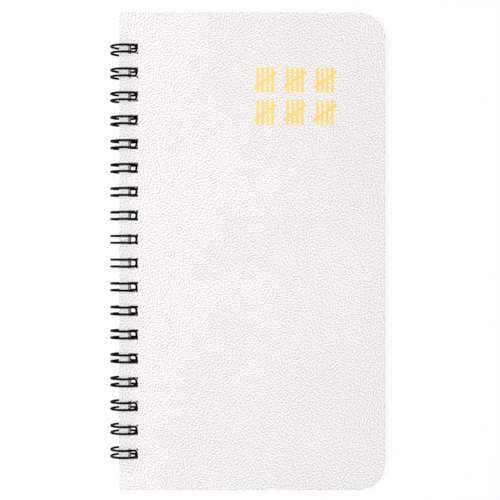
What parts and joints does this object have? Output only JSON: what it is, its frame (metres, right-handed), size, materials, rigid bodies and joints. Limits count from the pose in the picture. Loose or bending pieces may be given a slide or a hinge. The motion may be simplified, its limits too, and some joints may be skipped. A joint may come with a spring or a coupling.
{
  "type": "tally book",
  "caption": "Pocket tally book: pale grained covers with rounded fore-edge corners and ruled leaves, all turning on a black twin-loop wire along the spine.",
  "frame": {"origin": "under the middle of the closed book, on the surface that it lies on", "axes": "+X from the spine to the fore edge, +Y from tail to head, +Z out of the front cover"},
  "size_m": [0.098, 0.1698, 0.0106],
  "materials": {
    "cover": "pebbled leatherette",
    "leaf": "uncoated, faintly ruled",
    "wire": "satin black coating"
  },
  "bodies": {
    "back": {"back_cover": "cover"},
    "front": {"front_cover": "cover"},
    "wire": {"binding_wire": "wire"},
    "leaves_1": {"leaf_01": "leaf", "leaf_02": "leaf", "leaf_03": "leaf", "leaf_04": "leaf"},
    "leaves_2": {"leaf_05": "leaf", "leaf_06": "leaf", "leaf_07": "leaf", "leaf_08": "leaf"},
    "leaves_3": {"leaf_09": "leaf", "leaf_10": "leaf", "leaf_11": "leaf", "leaf_12": "leaf"},
    "leaves_4": {"leaf_13": "leaf", "leaf_14": "leaf", "leaf_15": "leaf", "leaf_16": "leaf"},
    "leaves_5": {"leaf_17": "leaf", "leaf_18": "leaf", "leaf_19": "leaf", "leaf_20": "leaf"},
    "leaves_6": {"leaf_21": "leaf", "leaf_22": "leaf", "leaf_23": "leaf", "leaf_24": "leaf"}
  },
  "joints": [
    {"name": "front_cover_hinge", "type": "hinge", "parent": "back", "child": "front", "pos_m": [-0.04373, 0, 0.0053], "axis": [0, -1, 0], "range_deg": [0, 180]},
    {"name": "wire_turn", "type": "hinge", "parent": "back", "child": "wire", "pos_m": [-0.04373, 0, 0.0053], "axis": [0, -1, 0], "range_deg": [0, 171]},
    {"name": "leaves_1_hinge", "type": "hinge", "parent": "back", "child": "leaves_1", "pos_m": [-0.04373, 0, 0.0053], "axis": [0, -1, 0], "range_deg": [0, 162]},
    {"name": "leaves_2_hinge", "type": "hinge", "parent": "back", "child": "leaves_2", "pos_m": [-0.04373, 0, 0.0053], "axis": [0, -1, 0], "range_deg": [0, 133.2]},
    {"name": "leaves_3_hinge", "type": "hinge", "parent": "back", "child": "leaves_3", "pos_m": [-0.04373, 0, 0.0053], "axis": [0, -1, 0], "range_deg": [0, 104.4]},
    {"name": "leaves_4_hinge", "type": "hinge", "parent": "back", "child": "leaves_4", "pos_m": [-0.04373, 0, 0.0053], "axis": [0, -1, 0], "range_deg": [0, 75.6]},
    {"name": "leaves_5_hinge", "type": "hinge", "parent": "back", "child": "leaves_5", "pos_m": [-0.04373, 0, 0.0053], "axis": [0, -1, 0], "range_deg": [0, 46.8]},
    {"name": "leaves_6_hinge", "type": "hinge", "parent": "back", "child": "leaves_6", "pos_m": [-0.04373, 0, 0.0053], "axis": [0, -1, 0], "range_deg": [0, 18]}
  ],
  "couplings": [
    {"joint": "wire_turn", "follows": "front_cover_hinge", "ratio": 0.95},
    {"joint": "leaves_1_hinge", "follows": "front_cover_hinge", "ratio": 0.9},
    {"joint": "leaves_2_hinge", "follows": "front_cover_hinge", "ratio": 0.74},
    {"joint": "leaves_3_hinge", "follows": "front_cover_hinge", "ratio": 0.58},
    {"joint": "leaves_4_hinge", "follows": "front_cover_hinge", "ratio": 0.42},
    {"joint": "leaves_5_hinge", "follows": "front_cover_hinge", "ratio": 0.26},
    {"joint": "leaves_6_hinge", "follows": "front_cover_hinge", "ratio": 0.1}
  ]
}
